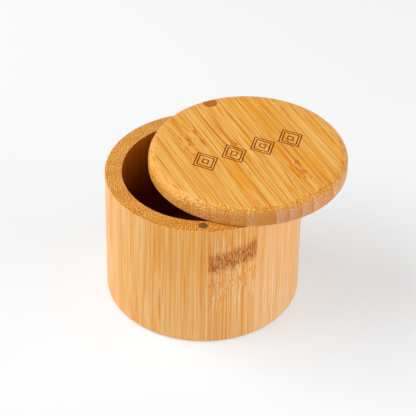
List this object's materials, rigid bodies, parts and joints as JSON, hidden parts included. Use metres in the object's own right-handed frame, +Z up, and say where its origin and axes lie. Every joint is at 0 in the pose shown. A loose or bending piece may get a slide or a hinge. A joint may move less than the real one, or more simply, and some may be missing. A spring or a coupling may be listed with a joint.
{
  "type": "salt box with swivel lid",
  "caption": "Round box for kitchen salt, turned from laminated bamboo, with a flat lid that swivels sideways on a pivot in the rim and is held shut by a magnet catch.",
  "frame": {"origin": "centre of the box's underside, where it stands on the table", "axes": "+Z up along the box's axis; the lid's pivot is in the rim on the +Y side; at rest the lid is swung open towards +X"},
  "size_m": [0.1086, 0.0942, 0.0725],
  "materials": {
    "bamboo_body": "oiled",
    "bamboo_lid": "oiled",
    "plug_wood": "oiled",
    "magnet_plating": "dull nickel plate",
    "screw_steel": "satin",
    "insert_brass": "satin",
    "washer_nylon": "natural nylon"
  },
  "bodies": {
    "box": {"box_body": "bamboo_body", "rim_magnet": "magnet_plating", "threaded_insert": "insert_brass", "pivot_screw": "screw_steel", "slip_washer": "washer_nylon"},
    "lid": {"swivel_lid": "bamboo_lid", "lid_magnet": "magnet_plating", "head_washer": "screw_steel", "pivot_plug": "plug_wood"}
  },
  "joints": [
    {"name": "lid_swivel", "type": "hinge", "parent": "box", "child": "lid", "pos_m": [0, 0.0401, 0.06435], "axis": [0, 0, 1], "continuous": true}
  ]
}
